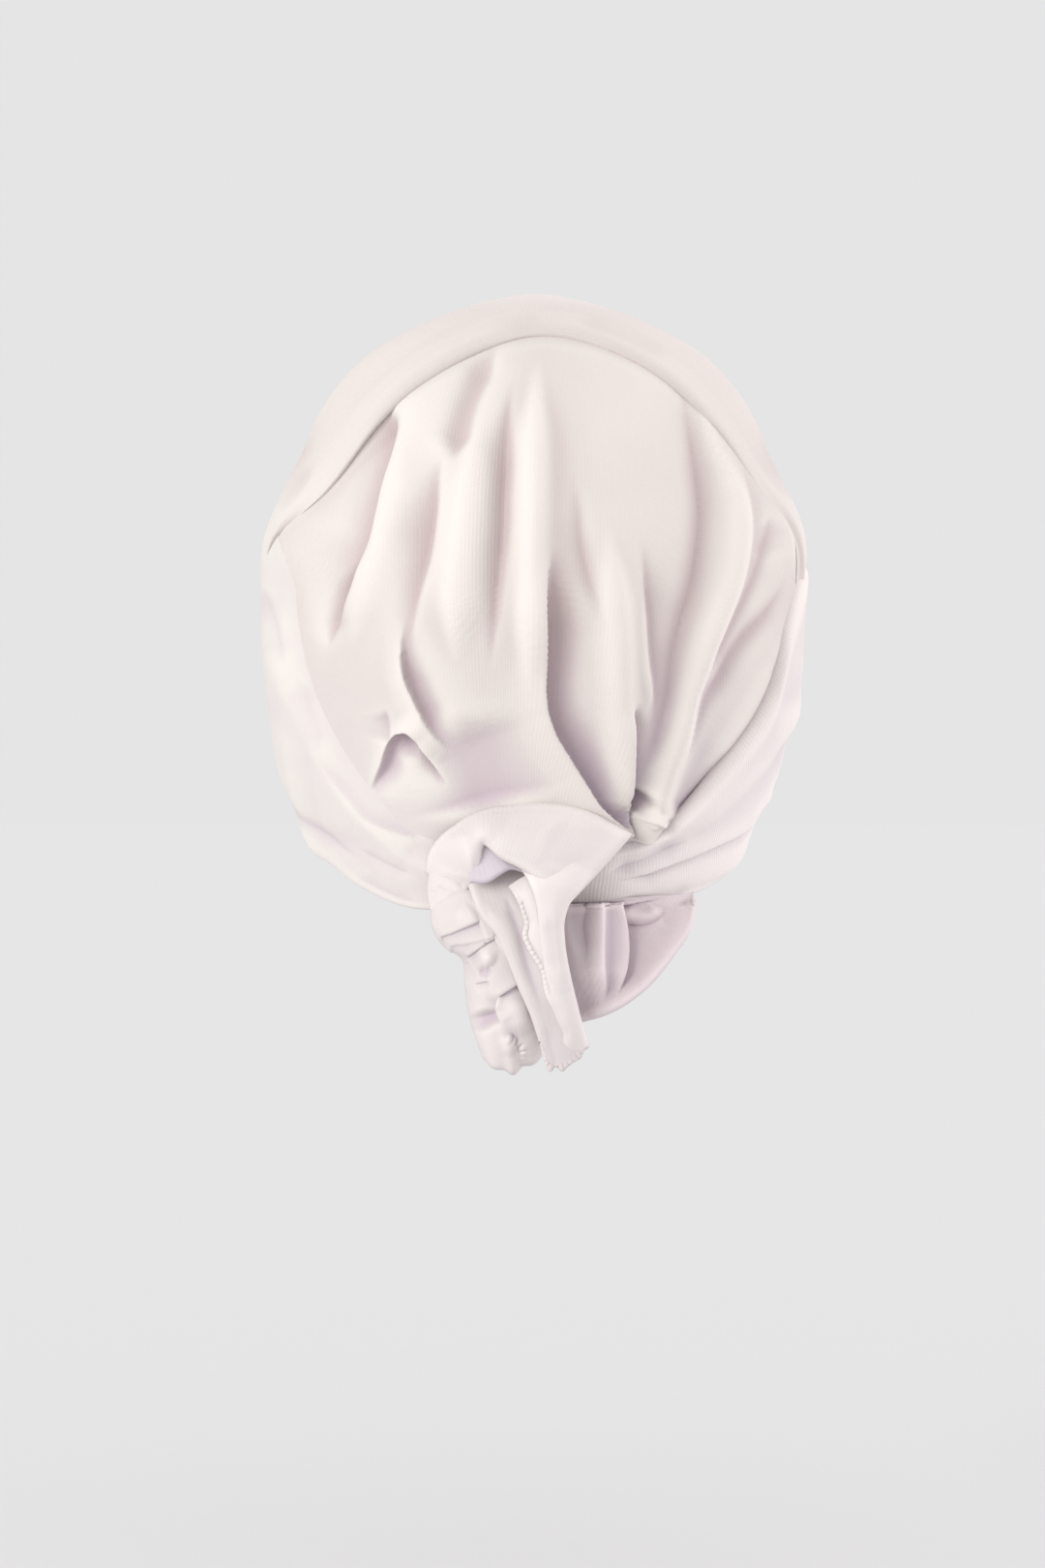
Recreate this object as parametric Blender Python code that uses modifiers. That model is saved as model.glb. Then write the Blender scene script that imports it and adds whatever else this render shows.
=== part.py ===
"""Hair bonnet: a pre-tied head wrap of thin jersey, in the form that it has when worn.

The wearer faces +Y, so the knot is at -Y, and +Z is up. The origin is the inside of the crown,
where the head carries the bonnet. Sizes are in millimetres until a mesh is made.

Every sheet of cloth is a grid that is laid on the form of a head and then thickened outwards.
A place on the form is an azimuth, 0 at the back and positive towards +X, and an elevation.
A place that was read from behind is an x and a z in the plane y = 0, seen from EYE.
"""

import math

import bmesh
import bpy
import numpy as np

MM = 0.001

# Driving dimensions
CROWN_TO_CENTRE = 85.0
CLOTH = 1.5
LAYER_GAP = 0.9
EYE = np.array([-4.0, -1600.0, -150.6])

# The power of the head's level sections, where 2 is an ellipse, and the elevations between which
# they grow round towards the crown
SQUARENESS = 2.2
ROUND_FROM, ROUND_AT = 20.0, 65.0

CENTRE = np.array([0.0, 0.0, -CROWN_TO_CENTRE])
FRONT_LIFT = CLOTH + LAYER_GAP
TIE_LIFT = FRONT_LIFT + CLOTH + 0.6


def table(columns, *rows):
    """One array for each named column."""
    return dict(zip(columns.split(), np.array(rows, float).T))


# The form of the head and hair under the cloth: distances from its centre at each elevation
FORM = table(
    "elevation side back front",
    (-66, 130, 144, 110),
    (-56, 111, 124, 105),
    (-48, 101, 115, 100),
    (-38, 92.5, 109, 100),
    (-25, 85.5, 106, 100),
    (-10, 81, 105.5, 100),
    (5, 80, 105, 99),
    (20, 79.5, 102.5, 97),
    (35, 81, 98.5, 94),
    (50, 83, 93, 89.5),
    (66, 82.8, 87, 85.5),
    (78, 83.6, 84.8, 84.4),
    (90, 85, 85, 85),
    (102, 83.6, 84.8, 84.4),
)

# The front panel from the left side over the crown to the right: its rear edge and its hem
FRONT_PANEL = table(
    "along rear_azimuth rear_elevation hem_azimuth hem_elevation",
    (0.00, -76, -48, -92, -44),
    (0.10, -79, -26, -101, -34),
    (0.20, -72, 2, -112, -20),
    (0.30, -44, 14, -127, -5),
    (0.40, -26, 33, -150, 5),
    (0.50, 0, 47, -180, 8),
    (0.60, 25, 39, -210, 5),
    (0.70, 48, 17, -233, -5),
    (0.80, 72, 1, -248, -20),
    (0.90, 79, -26, -259, -34),
    (1.00, 76, -48, -268, -44),
)

# The rounded fold of the front panel's rear edge: its height, and the shares of the panel that it takes
SEAM_FOLD_HEIGHT = 1.6
SEAM_FOLD_START = 0.86
SEAM_FOLD_RISE = 0.08
SEAM_FOLD_SPAN = (0.22, 0.78)

# The back panel from left to right: its top edge, under the arched seam, and its bottom edge
BACK_PANEL = table(
    "across top_azimuth top_elevation bottom_azimuth bottom_elevation",
    (0.00, -75, -8, -72, -49),
    (0.10, -64, 7, -58, -50),
    (0.22, -44, 19, -42, -50),
    (0.36, -24, 39, -22, -50),
    (0.50, 0, 52, -3, -50),
    (0.64, 25, 44, 19, -50),
    (0.78, 47, 23, 41, -50),
    (0.90, 64, 9, 58, -50),
    (1.00, 75, -8, 72, -49),
)

# How much closer the back panel's columns stand in its middle, where its folds are sharpest
COLUMN_CROWDING = 0.06

# The share of the back panel at each edge over which its folds die out under the other pieces
FOLD_FADE = 0.12
FOLD_FADE_TOP = 0.04

# Folds of the back panel, each on a curve through three places seen from behind
BACK_FOLDS = table(
    "top_x top_z mid_x mid_z low_x low_z width height",
    (-46, -28, -56, -72, -63, -110, 6.0, -6.0),
    (-24, -20, -41, -84, -27, -132, 7.0, -8.5),
    (-10, -30, -11, -72, -10, -112, 6.0, -4.5),
    (-1, -22, -1, -68, -2, -120, 6.0, 3.5),
    (4, -68, 8, -106, 17, -140, 7.5, -9.0),
    (14, -56, 18, -80, 22, -98, 6.0, -2.5),
    (24, -84, 26, -112, 27, -140, 6.0, 3.5),
    (37, -88, 39, -110, 36, -132, 6.5, -7.0),
    (41, -26, 50, -74, 40, -120, 7.0, -6.0),
    (48, -28, 61, -78, 41, -148, 7.0, 7.5),
    (66, -42, 67, -78, 58, -116, 5.5, -3.0),
    (74, -92, 65, -118, 45, -154, 6.5, -5.5),
    (-50, -124, -41, -132, -33, -144, 6.0, 5.0),
)

# Ties from their side seams to the knot: the places of their upper and lower edges
LEFT_TIE = table(
    "along upper_azimuth upper_elevation lower_azimuth lower_elevation",
    (0.00, -98, 10, -98, -42),
    (0.14, -86, 9, -90, -47),
    (0.28, -72, 6, -81, -50),
    (0.42, -56, -4, -70, -52),
    (0.56, -48, -20, -57, -53.2),
    (0.70, -40, -33, -45, -54.5),
    (0.84, -28, -44, -31, -55.5),
    (1.00, -11, -48, -12, -55),
)
RIGHT_TIE = table(
    "along upper_azimuth upper_elevation lower_azimuth lower_elevation",
    (0.00, 98, 6, 98, -41),
    (0.14, 87, 3, 89, -46),
    (0.28, 74, 0, 79, -49),
    (0.42, 61, -9, 67, -51),
    (0.56, 54, -23, 55, -53.6),
    (0.70, 41, -34, 41, -54.6),
    (0.84, 25, -44, 25, -54.4),
    (1.00, -3, -47, -3, -54.5),
)

# Folds along each tie: the share of the tie's width at which each starts and ends
LEFT_TIE_FOLDS = table(
    "start end width height",
    (0.02, 0.10, 0.07, 2.2),
    (0.32, 0.40, 0.12, 3.0),
    (0.62, 0.66, 0.10, 2.8),
    (0.86, 0.88, 0.08, 2.0),
)
RIGHT_TIE_FOLDS = table(
    "start end width height",
    (0.03, 0.06, 0.08, 4.0),
    (0.34, 0.42, 0.12, 3.4),
    (0.72, 0.76, 0.13, 2.6),
)

# How the folds of a tie rise from its seam, close up towards the knot and lift there
TIE_FOLD_RISE = 0.25
TIE_GATHER_START = 0.6
TIE_GATHER_LOSS = 0.6
TIE_GATHER_LIFT = 0.8
TIE_LEAST_LIFT = -0.2

# The knot's wing seen from behind, and how far it stands off the ties
KNOT = table(
    "x top bottom",
    (-24, -165, -187.0),
    (-14, -159.5, -188.0),
    (-3, -157.5, -187.5),
    (8, -158, -187.5),
    (17, -160.5, -182.0),
    (25, -164, -174.0),
    (30, -167, -169.0),
)
KNOT_SEAT_LIFT = TIE_LIFT + CLOTH + 3.85
KNOT_TOP_TUCK = 7.2
KNOT_CROWN = 15.0
KNOT_BOTTOM_Y = -98.4

# The small loop at the left end of the wing
LOOP_LEFT, LOOP_RIGHT = -35.5, -21.0
LOOP_TOP, LOOP_BOTTOM = -168.0, -185.5
LOOP_SEAT_LIFT = KNOT_SEAT_LIFT + 0.6
LOOP_CROWN = 9.0
LOOP_LEAN = 3.0
LOOP_DROP = 2.0
LOOP_PINCH = 0.45

# The flat tail seen from behind
FLAT_TAIL = table(
    "z left right",
    (-241, 6.0, 17.0),
    (-231, 2.4, 16.0),
    (-221, -1.8, 13.2),
    (-211, -6.0, 10.8),
    (-201, -11, 9.0),
    (-193, -17, 8.6),
    (-184, -20, 8.0),
)
FLAT_TAIL_TOP_Y = -96.0
FLAT_TAIL_LOW_Y = -92.0
FLAT_TAIL_FOLD_HEIGHT = 1.6
FLAT_TAIL_FOLD_SHIFT = 0.6

# The crumpled tail, an open roll of cloth seen from behind
ROLLED_TAIL = table(
    "z left right depth",
    (-240, -13, -3, 3.0),
    (-234, -18, 2, 7.0),
    (-224, -20.5, 1, 8.5),
    (-212, -22, -1, 7.5),
    (-205, -22.5, -3, 8.5),
    (-198, -30, -6, 8.5),
    (-190.5, -31.5, -8, 6.0),
)
ROLLED_TAIL_Y = -83.7
ROLL_OPENING = math.radians(70)

# The pouch of gathered hem under the right tie: the outline of its rim, seen from behind
POUCH_RIM = table(
    "across x z",
    (0.00, 11, -226.0),
    (0.20, 20, -223.5),
    (0.40, 28, -219.5),
    (0.60, 36, -213.0),
    (0.80, 44, -203.5),
    (1.00, 49, -194.0),
)
POUCH_TOP_AZIMUTHS = (9.0, 38.0)
POUCH_TOP_ELEVATION = -51.6
POUCH_LIFT = 2.0
POUCH_TUCK = 5.0
POUCH_TUCK_HEIGHT = 12.0
POUCH_REACH = 19.0
POUCH_CLEAR_OF_TIE_Z = -190.0
POUCH_REACH_HEIGHT = 30.0
POUCH_FOLDS = 4
POUCH_FOLD_HEIGHT = 1.4

IVORY = (0.84, 0.79, 0.74, 1)
SHADED = (0.76, 0.69, 0.70, 1)


def clear_scene():
    """Removes every object, and returns the collection that holds the bonnet."""
    for old in list(bpy.data.objects):
        bpy.data.objects.remove(old, do_unlink=True)
    collection = bpy.data.collections.new("hair_bonnet")
    bpy.context.scene.collection.children.link(collection)
    return collection


def smooth(at, places, values):
    """A cubic curve through the values, which runs level past its ends."""
    slopes = np.gradient(values, places)
    low = np.clip(np.searchsorted(places, at) - 1, 0, len(places) - 2)
    span = places[low + 1] - places[low]
    t = np.clip((at - places[low]) / span, 0, 1)
    start = (1 + 2 * t) * (1 - t) ** 2 * values[low] + t * (1 - t) ** 2 * span * slopes[low]
    end = t * t * (3 - 2 * t) * values[low + 1] + t * t * (t - 1) * span * slopes[low + 1]
    return start + end


def ease(t):
    """0 to 1 with level ends."""
    t = np.clip(t, 0, 1)
    return t * t * (3 - 2 * t)


def window(t, start, end, soft):
    """1 between the start and the end, and 0 outside them, with soft edges inside."""
    return ease((t - start) / soft) * ease((end - t) / soft)


def columns_at(rows, key, at):
    """The other columns of a table, where its key column has these values."""
    return [smooth(at, rows[key], rows[name]) for name in rows if name != key]


def arcs(rows, key, u, v):
    """Directions along the arcs from each table row's first place to its second."""
    first_azimuth, first_elevation, second_azimuth, second_elevation = columns_at(rows, key, u)
    first = direction(first_azimuth, first_elevation)
    return between(first, direction(second_azimuth, second_elevation), v)


def direction(azimuth, elevation):
    """Unit vectors from the form's centre, for angles in degrees."""
    a, e = np.radians(azimuth), np.radians(elevation)
    return np.stack([np.sin(a) * np.cos(e), -np.cos(a) * np.cos(e), np.sin(e)], axis=-1)


def form_point(way):
    """The points of the form in these directions from its centre."""
    elevation = np.degrees(np.arcsin(np.clip(way[..., 2], -1, 1)))
    level = np.maximum(np.hypot(way[..., 0], way[..., 1]), 1e-9)
    sideways, backward = way[..., 0] / level, -way[..., 1] / level
    side, back, front = (smooth(elevation, FORM["elevation"], FORM[c]) for c in ("side", "back", "front"))
    blend = ease(0.5 + backward)
    fore = front + (back - front) * blend
    power = SQUARENESS + (2 - SQUARENESS) * ease((elevation - ROUND_FROM) / (ROUND_AT - ROUND_FROM))
    reach = (np.abs(sideways / side) ** power + np.abs(backward / fore) ** power) ** (-1 / power)
    return CENTRE + way * reach[..., None]


def on_form(way, lift):
    """Points that stand off the form by the lift, measured square to it."""
    step = 1e-3
    aside = np.cross(way, np.array([0.0, 0.0, 1.0]) + 1e-6)
    aside /= np.linalg.norm(aside, axis=-1, keepdims=True)
    along = np.cross(aside, way)
    here = form_point(way)

    def moved(by):
        turned = way + by * step
        return form_point(turned / np.linalg.norm(turned, axis=-1, keepdims=True)) - here

    normal = np.cross(moved(along), moved(aside))
    normal /= np.linalg.norm(normal, axis=-1, keepdims=True)
    normal *= np.sign((normal * way).sum(axis=-1, keepdims=True))
    return here + normal * np.asarray(lift)[..., None]


def between(first, second, share):
    """Directions on the arc of a great circle from the first to the second."""
    angle = np.arccos(np.clip((first * second).sum(axis=-1), -1, 1))[..., None]
    share = share[..., None]
    return (np.sin((1 - share) * angle) * first + np.sin(share * angle) * second) / np.sin(angle)


def seen_from_behind(points):
    """The x and z at which points show in the plane y = 0."""
    away = points - EYE
    scale = EYE[1] / (EYE[1] - points[..., 1])
    return EYE[0] + away[..., 0] * scale, EYE[2] + away[..., 2] * scale


def placed(x, y, z):
    """The points at depth y that show at x and z in the plane y = 0."""
    scale = (EYE[1] - y) / EYE[1]
    return np.stack([EYE[0] + (x - EYE[0]) * scale, y + 0 * x, EYE[2] + (z - EYE[2]) * scale], axis=-1)


def depth_on_form(x, z, lift):
    """The y of the places that stand off the form by the lift and show at x and z."""
    y = np.full_like(x, -CROWN_TO_CENTRE)
    for _ in range(12):
        away = placed(x, y, z) - CENTRE
        reach = np.linalg.norm(away, axis=-1)
        wanted = np.linalg.norm(on_form(away / reach[:, None], lift + 0 * x) - CENTRE, axis=-1)
        y = y - (wanted - reach)
    return y


def fold_height(folds, x, z):
    """The height of all the folds at these places, each a soft ridge or valley along its curve."""
    height = np.zeros_like(x)
    t = np.linspace(0, 1, 41)
    for row in zip(*folds.values()):
        top_x, top_z, mid_x, mid_z, low_x, low_z, width, rise = row
        bend_x, bend_z = 2 * mid_x - (top_x + low_x) / 2, 2 * mid_z - (top_z + low_z) / 2
        path_x = (1 - t) ** 2 * top_x + 2 * t * (1 - t) * bend_x + t * t * low_x
        path_z = (1 - t) ** 2 * top_z + 2 * t * (1 - t) * bend_z + t * t * low_z
        distance = np.hypot(x[..., None] - path_x, z[..., None] - path_z)
        nearest = distance.argmin(axis=-1)
        fade = np.sin(math.pi * np.clip(t[nearest], 0.02, 0.98)) ** 0.5
        height += rise * fade * np.exp(-((distance.min(axis=-1) / width) ** 2))
    return height


def cloth(name, columns, rows, place, colour, thickness=CLOTH):
    """A sheet: a grid whose places u, left to right, and v, top to bottom, are laid by place."""
    net = bmesh.new()
    bmesh.ops.create_grid(net, x_segments=columns, y_segments=rows, size=1)
    flat = np.array([vertex.co for vertex in net.verts])
    laid = place((flat[:, 0] + 1) / 2, (1 - flat[:, 1]) / 2)
    for vertex, point in zip(net.verts, laid):
        vertex.co = point * MM
    mesh = bpy.data.meshes.new(name)
    net.to_mesh(mesh)
    net.free()
    mesh.shade_smooth()
    mesh.materials.append(fabric(name + "_jersey", colour))
    piece = bpy.data.objects.new(name, mesh)
    bonnet.objects.link(piece)
    shell = piece.modifiers.new("cloth", "SOLIDIFY")
    shell.thickness = thickness * MM
    shell.offset = 1
    return piece


def fabric(name, colour):
    """Soft matt jersey."""
    material = bpy.data.materials.new(name)
    material.use_nodes = True
    shader = material.node_tree.nodes["Principled BSDF"]
    shader.inputs["Base Color"].default_value = colour
    shader.inputs["Roughness"].default_value = 0.9
    shader.inputs["Metallic"].default_value = 0.0
    return material


def place_front_panel(u, v):
    """From the hem at the face, over the crown, to the rear edge, which rises in a rounded fold."""
    way = arcs(FRONT_PANEL, "along", u, 1 - v)
    first, last = SEAM_FOLD_SPAN
    fold = SEAM_FOLD_HEIGHT * ease((v - SEAM_FOLD_START) / SEAM_FOLD_RISE) * window(u, first, last, 0.1)
    return on_form(way, FRONT_LIFT + fold)


def place_back_panel(u, v):
    """From under the arched seam down to the nape, with the folds that gather there."""
    u = u + COLUMN_CROWDING * np.sin(2 * math.pi * u)
    way = arcs(BACK_PANEL, "across", u, v)
    x, z = seen_from_behind(form_point(way))
    free = window(u, 0, 1, FOLD_FADE) * window(v, FOLD_FADE_TOP, 1, FOLD_FADE)
    return on_form(way, fold_height(BACK_FOLDS, x, z) * free)


def place_tie(edges, folds, u, v):
    """From the side seam, where u is 0, to the knot, gathered into folds that run along the tie."""
    lift = np.zeros_like(u)
    for start, end, width, height in zip(*folds.values()):
        lift += height * np.exp(-(((v - start - (end - start) * u) / width) ** 2))
    gather = ease((u - TIE_GATHER_START) / (1 - TIE_GATHER_START))
    lift = np.maximum(lift, TIE_LEAST_LIFT) * ease(u / TIE_FOLD_RISE) * (1 - TIE_GATHER_LOSS * gather)
    return on_form(arcs(edges, "along", u, v), TIE_LIFT + lift + TIE_GATHER_LIFT * gather)


def place_knot(u, v):
    """The wing, a crowned flap that is tucked in above and stands off the ties below."""
    x = smooth(u, np.linspace(0, 1, len(KNOT["x"])), KNOT["x"])
    top, bottom = columns_at(KNOT, "x", x)
    z = top + (bottom - top) * v
    tuck = KNOT_TOP_TUCK * (1 - ease(v / 0.35)) * (1 - ease((u - 0.45) / 0.35))
    seat = depth_on_form(x, z, KNOT_SEAT_LIFT - tuck)
    edge = seat + (KNOT_BOTTOM_Y - seat) * v * ease((1 - u) / 0.5)
    crown = KNOT_CROWN * np.sin(math.pi * np.clip(v, 0, 1)) ** 0.8 * ease((1.1 - u) / 0.8)
    return placed(x, edge - crown, z)


def place_loop(u, v):
    """The loop beside the wing, rounded from side to side and pinched at its lower end."""
    belly, bow = np.sin(math.pi * v), np.sin(math.pi * u)
    width = (LOOP_RIGHT - LOOP_LEFT) * (1 - LOOP_PINCH * ease((v - 0.5) / 0.5)) * (0.75 + 0.25 * belly)
    x = (LOOP_LEFT + LOOP_RIGHT) / 2 + LOOP_LEAN * v + (u - 0.5) * width
    z = LOOP_TOP + (LOOP_BOTTOM - LOOP_TOP) * v - LOOP_DROP * bow
    return placed(x, depth_on_form(x, z, LOOP_SEAT_LIFT) - LOOP_CROWN * bow * (0.5 + 0.5 * belly), z)


def place_flat_tail(u, v):
    """The strip, with a shallow fold down its middle."""
    z = FLAT_TAIL["z"][-1] + (FLAT_TAIL["z"][0] - FLAT_TAIL["z"][-1]) * v
    left, right = columns_at(FLAT_TAIL, "z", z)
    fold = FLAT_TAIL_FOLD_HEIGHT * np.sin(2 * math.pi * u + FLAT_TAIL_FOLD_SHIFT) * ease(v / 0.2)
    y = FLAT_TAIL_TOP_Y + (FLAT_TAIL_LOW_Y - FLAT_TAIL_TOP_Y) * v + fold
    return placed(left + (right - left) * u, y, z)


def place_rolled_tail(u, v):
    """The roll, open towards the neck, with its bulges and narrow places."""
    z = ROLLED_TAIL["z"][-1] + (ROLLED_TAIL["z"][0] - ROLLED_TAIL["z"][-1]) * v
    left, right, depth = columns_at(ROLLED_TAIL, "z", z)
    turn = (math.pi - ROLL_OPENING / 2) * (2 * u - 1)
    x = (left + right) / 2 + (right - left) / 2 * np.sin(turn)
    return placed(x, ROLLED_TAIL_Y - depth * np.cos(turn), z)


def place_pouch(u, v):
    """The gathered hem, from under the tie to a rim that stands out from the nape."""
    first, last = POUCH_TOP_AZIMUTHS
    top = on_form(direction(first + (last - first) * u, POUCH_TOP_ELEVATION + 0 * u), POUCH_LIFT + 0 * u)
    top_x, top_z = seen_from_behind(top)
    rim_x, rim_z = columns_at(POUCH_RIM, "across", u)
    z = top_z + (rim_z - top_z) * v
    below_tie = ease((POUCH_CLEAR_OF_TIE_Z - z) / POUCH_REACH_HEIGHT)
    tuck = POUCH_TUCK * ease((top_z - z) / POUCH_TUCK_HEIGHT)
    gathers = POUCH_FOLD_HEIGHT * np.cos(2 * math.pi * POUCH_FOLDS * u) * ease(4 * below_tie)
    y = top[..., 1] + tuck - POUCH_REACH * below_tie + gathers
    return placed(top_x + (rim_x - top_x) * v, y, z)


def mirrored(place):
    """The same place with u counted from the other end, for a piece whose table starts at the right."""
    return lambda u, v: place(1 - u, v)


bonnet = clear_scene()
cloth("front_panel", 34, 14, place_front_panel, IVORY)
cloth("back_panel", 44, 24, place_back_panel, IVORY)
cloth("tie_left", 22, 12, lambda u, v: place_tie(LEFT_TIE, LEFT_TIE_FOLDS, u, v), IVORY)
cloth("tie_right", 22, 12, mirrored(lambda u, v: place_tie(RIGHT_TIE, RIGHT_TIE_FOLDS, u, v)), IVORY)
cloth("knot", 12, 10, place_knot, IVORY)
cloth("knot_loop", 8, 6, place_loop, IVORY)
cloth("tail_right", 8, 12, place_flat_tail, IVORY)
cloth("tail_left", 14, 12, place_rolled_tail, IVORY)
cloth("nape_flap", 16, 8, place_pouch, SHADED)
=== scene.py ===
"""The looks of the hair bonnet: thin ivory jersey in deep soft folds, seen from behind.

The wearer faces +Y, so the knot is at -Y, and the origin is the inside of the crown. Tables hold
millimetres and degrees. The cloth is laid as fine grids: the panels and ties on the form of the
wearer's head, and the pieces of the knot as patches between four edges. Their folds are drawn with strokes.
"""

import math

import bpy
import numpy as np
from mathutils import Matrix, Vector


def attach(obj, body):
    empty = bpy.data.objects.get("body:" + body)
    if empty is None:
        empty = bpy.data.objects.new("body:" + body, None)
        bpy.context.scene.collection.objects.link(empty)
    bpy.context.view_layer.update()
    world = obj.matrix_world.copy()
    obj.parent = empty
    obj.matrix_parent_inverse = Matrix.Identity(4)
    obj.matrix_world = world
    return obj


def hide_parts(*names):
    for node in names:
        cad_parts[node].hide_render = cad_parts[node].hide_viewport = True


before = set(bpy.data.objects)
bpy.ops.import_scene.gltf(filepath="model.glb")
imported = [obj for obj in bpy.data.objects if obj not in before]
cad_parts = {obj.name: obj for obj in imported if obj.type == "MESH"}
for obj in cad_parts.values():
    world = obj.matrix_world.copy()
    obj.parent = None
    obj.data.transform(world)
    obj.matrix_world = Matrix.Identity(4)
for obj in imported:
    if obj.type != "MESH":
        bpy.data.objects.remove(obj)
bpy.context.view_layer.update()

MM = 0.001

# The camera stands level behind the bonnet, and its view is 494 mm tall at the middle of the form
EYE = np.array([-4.0, -1600.0, -150.6])
VIEW_HEIGHT = 494.1
SENSOR = 36.0

# Paths and outlines are read in the photograph's pixels: one of them in mm in the plane y = 0,
# and the pixel that shows the point x = 0, z = 4 there
PIXEL = 0.305
PIXEL_X0, PIXEL_Y0, PIXEL_Z0 = 553.0, 303.0, 4.0

# The form of the wearer's head, as in the part. The cloth is this thick, and its panels and ties lie this far off the
# form
CENTRE = np.array([0.0, 0.0, -85.0])
SQUARENESS = 2.2
ROUND_FROM, ROUND_AT = 20.0, 65.0
JERSEY = 1.1
FRONT_LIFT = 2.4
BACK_LIFT = 1.2
TIE_LIFT = 4.5

# Bands round the form where the cloth stands out or draws in: how far, at which elevation, how wide
EAR_BANDS = ((2.2, 8, 9), (-1.2, 27, 8))


def table(columns, *rows):
    """One array for each named column."""
    return dict(zip(columns.split(), np.array(rows, float).T))


FORM = table(
    "elevation side back front",
    (-66, 130, 144, 110),
    (-56, 111, 124, 105),
    (-48, 101, 115, 100),
    (-38, 92.5, 109, 100),
    (-25, 85.5, 106, 100),
    (-10, 81, 105.5, 100),
    (5, 80, 105, 99),
    (20, 79.5, 102.5, 97),
    (35, 81, 98.5, 94),
    (50, 83, 93, 89.5),
    (66, 82.8, 87, 85.5),
    (78, 83.6, 84.8, 84.4),
    (90, 85, 85, 85),
    (102, 83.6, 84.8, 84.4),
)

FRONT_PANEL = table(
    "along rear_azimuth rear_elevation hem_azimuth hem_elevation",
    (0.00, -76, -48, -92, -44),
    (0.10, -79, -26, -101, -34),
    (0.20, -72, 2, -112, -20),
    (0.30, -44, 14, -127, -5),
    (0.40, -26, 33, -150, 5),
    (0.50, 0, 47, -180, 8),
    (0.60, 25, 39, -210, 5),
    (0.70, 48, 17, -233, -5),
    (0.80, 72, 1, -248, -20),
    (0.90, 79, -26, -259, -34),
    (1.00, 76, -48, -268, -44),
)

BACK_PANEL = table(
    "across top_azimuth top_elevation bottom_azimuth bottom_elevation",
    (0.00, -75, -8, -72, -49),
    (0.10, -64, 7, -58, -50),
    (0.22, -44, 19, -42, -50),
    (0.36, -24, 39, -22, -50),
    (0.50, 0, 52, -3, -50),
    (0.64, 25, 44, 19, -50),
    (0.78, 47, 23, 41, -50),
    (0.90, 64, 9, 58, -50),
    (1.00, 75, -8, 72, -49),
)

LEFT_TIE = table(
    "along upper_azimuth upper_elevation lower_azimuth lower_elevation",
    (0.00, -98, 10, -98, -42),
    (0.14, -86, 9, -90, -47),
    (0.28, -72, 6, -81, -50),
    (0.42, -56, -4, -70, -52),
    (0.56, -48, -20, -57, -53.2),
    (0.70, -40, -33, -45, -54.5),
    (0.84, -28, -44, -31, -55.5),
    (1.00, -11, -48, -12, -55),
)
RIGHT_TIE = table(
    "along upper_azimuth upper_elevation lower_azimuth lower_elevation",
    (0.00, 98, 6, 98, -41),
    (0.14, 87, 3, 89, -46),
    (0.28, 74, 0, 79, -49),
    (0.42, 61, -9, 67, -51),
    (0.56, 54, -23, 55, -53.6),
    (0.70, 41, -34, 41, -54.6),
    (0.84, 25, -44, 25, -54.4),
    (1.00, -3, -47, -3, -54.5),
)


def smooth(at, places, values):
    """A cubic curve through the values, which runs level past its ends."""
    slopes = np.gradient(values, places)
    low = np.clip(np.searchsorted(places, at) - 1, 0, len(places) - 2)
    span = places[low + 1] - places[low]
    t = np.clip((at - places[low]) / span, 0, 1)
    start = (1 + 2 * t) * (1 - t) ** 2 * values[low] + t * (1 - t) ** 2 * span * slopes[low]
    end = t * t * (3 - 2 * t) * values[low + 1] + t * t * (t - 1) * span * slopes[low + 1]
    return start + end


def ease(t):
    """0 to 1 with level ends."""
    t = np.clip(t, 0, 1)
    return t * t * (3 - 2 * t)


def window(t, start, end, soft):
    """1 between the start and the end, and 0 outside them, with soft edges inside."""
    return ease((t - start) / soft) * ease((end - t) / soft)


def bell(t):
    """1 in the middle, dying out on both sides."""
    return np.exp(-(t**2))


def rounded(t):
    """0 to 1 on a quarter of a circle, steep at first."""
    return np.sqrt(np.clip(1 - (1 - np.clip(t, 0, 1)) ** 2, 0, 1))


def columns_at(rows, key, at):
    """The other columns of a table, where its key column has these values."""
    return [smooth(at, rows[key], rows[name]) for name in rows if name != key]


def direction(azimuth, elevation):
    """Unit vectors from the form's centre, for angles in degrees."""
    a, e = np.radians(azimuth), np.radians(elevation)
    return np.stack([np.sin(a) * np.cos(e), -np.cos(a) * np.cos(e), np.sin(e)], axis=-1)


def between(first, second, share):
    """Directions on the arc of a great circle from the first to the second."""
    angle = np.arccos(np.clip((first * second).sum(axis=-1), -1, 1))[..., None]
    share = share[..., None]
    return (np.sin((1 - share) * angle) * first + np.sin(share * angle) * second) / np.sin(angle)


def arcs(rows, key, u, v):
    """Directions along the arcs from each table row's first place to its second."""
    first_azimuth, first_elevation, second_azimuth, second_elevation = columns_at(rows, key, u)
    first = direction(first_azimuth, first_elevation)
    return between(first, direction(second_azimuth, second_elevation), v)


def elevation_of(way):
    """The elevations of directions, in degrees."""
    return np.degrees(np.arcsin(np.clip(way[..., 2], -1, 1)))


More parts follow.
